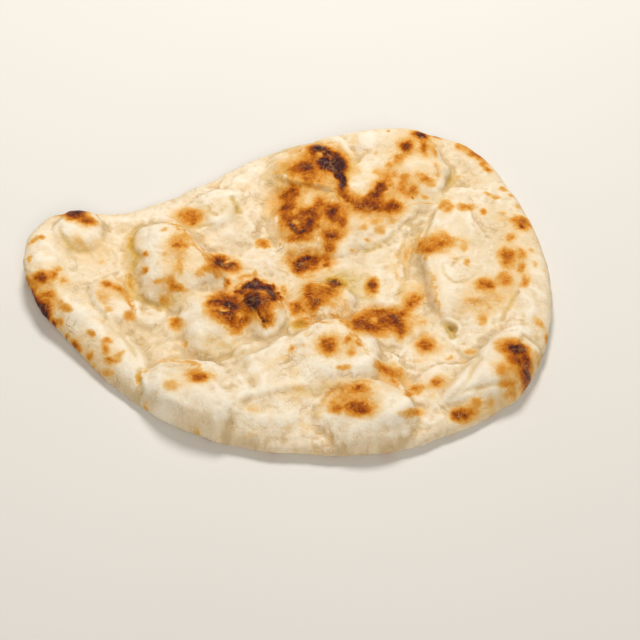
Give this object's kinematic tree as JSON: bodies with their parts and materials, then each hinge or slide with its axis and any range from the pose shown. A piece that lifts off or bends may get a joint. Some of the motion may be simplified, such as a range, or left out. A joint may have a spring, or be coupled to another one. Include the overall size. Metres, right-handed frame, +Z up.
{
  "type": "naan bread",
  "caption": "Teardrop-shaped leavened flatbread lying flat, with a puffed rim, baked blisters, folds and charred spots.",
  "frame": {"origin": "middle of the bread's bounding box in plan, on the table it lies on", "axes": "+X along the bread's length towards its wide lobe, +Y towards its back edge, +Z up"},
  "size_m": [0.2842, 0.2162, 0.0221],
  "materials": {
    "crust": "baked dough: floury cream crust with golden to charred blister tops and a light gloss of ghee"
  },
  "bodies": {
    "root": {"naan": "crust"}
  },
  "joints": []
}
